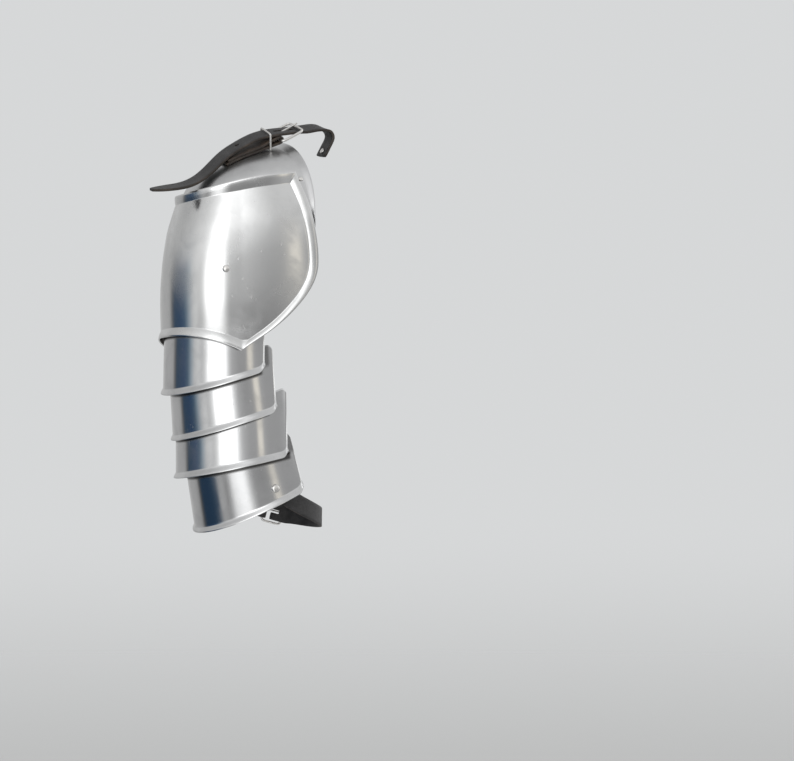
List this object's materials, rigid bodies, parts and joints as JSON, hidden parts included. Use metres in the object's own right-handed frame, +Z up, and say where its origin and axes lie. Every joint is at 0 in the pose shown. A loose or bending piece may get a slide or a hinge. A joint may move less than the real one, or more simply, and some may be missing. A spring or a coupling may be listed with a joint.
{
  "type": "pauldron",
  "caption": "Steel shoulder armour with a domed cop, hinged-on-leather arm lames, a shoulder plate, and buckled leather straps for the neck and upper arm.",
  "frame": {"origin": "underside of the shoulder plate's crest, where the armour sits on top of the shoulder", "axes": "+Z up, -Y to the wearer's front, -X outward over the arm, +X towards the neck"},
  "size_m": [0.1866, 0.185, 0.3828],
  "materials": {
    "plate_steel": "polished sheet with fine scratches",
    "rivet_steel": "polished",
    "buckle_steel": "bright nickel plate",
    "brown_leather": "raw flesh side, waxed",
    "black_leather": "satin"
  },
  "bodies": {
    "root": {"shoulder_plate": "plate_steel", "shoulder_cop": "plate_steel", "arm_lame_1": "plate_steel", "arm_lame_2": "plate_steel", "arm_lame_3": "plate_steel", "arm_lame_4": "plate_steel", "rivet_rim_front": "rivet_steel", "rivet_rim_back": "rivet_steel", "rivet_cop_front": "rivet_steel", "rivet_cop_back": "rivet_steel", "rivet_lame_1_front": "rivet_steel", "rivet_lame_1_back": "rivet_steel", "rivet_lame_2_front": "rivet_steel", "rivet_lame_2_back": "rivet_steel", "rivet_lame_3_front": "rivet_steel", "rivet_lame_3_back": "rivet_steel", "rivet_lame_4_front": "rivet_steel", "rivet_lame_4_back": "rivet_steel", "rivet_crest": "rivet_steel", "rivet_neck": "rivet_steel", "buckle_frame": "buckle_steel", "buckle_prong": "buckle_steel", "keeper_ring": "buckle_steel", "arm_buckle_frame": "buckle_steel", "arm_buckle_prong": "buckle_steel", "leather_front": "brown_leather", "leather_back": "brown_leather", "buckle_strap": "brown_leather", "long_strap": "black_leather", "arm_strap": "black_leather", "arm_buckle_tab": "black_leather"}
  },
  "joints": []
}
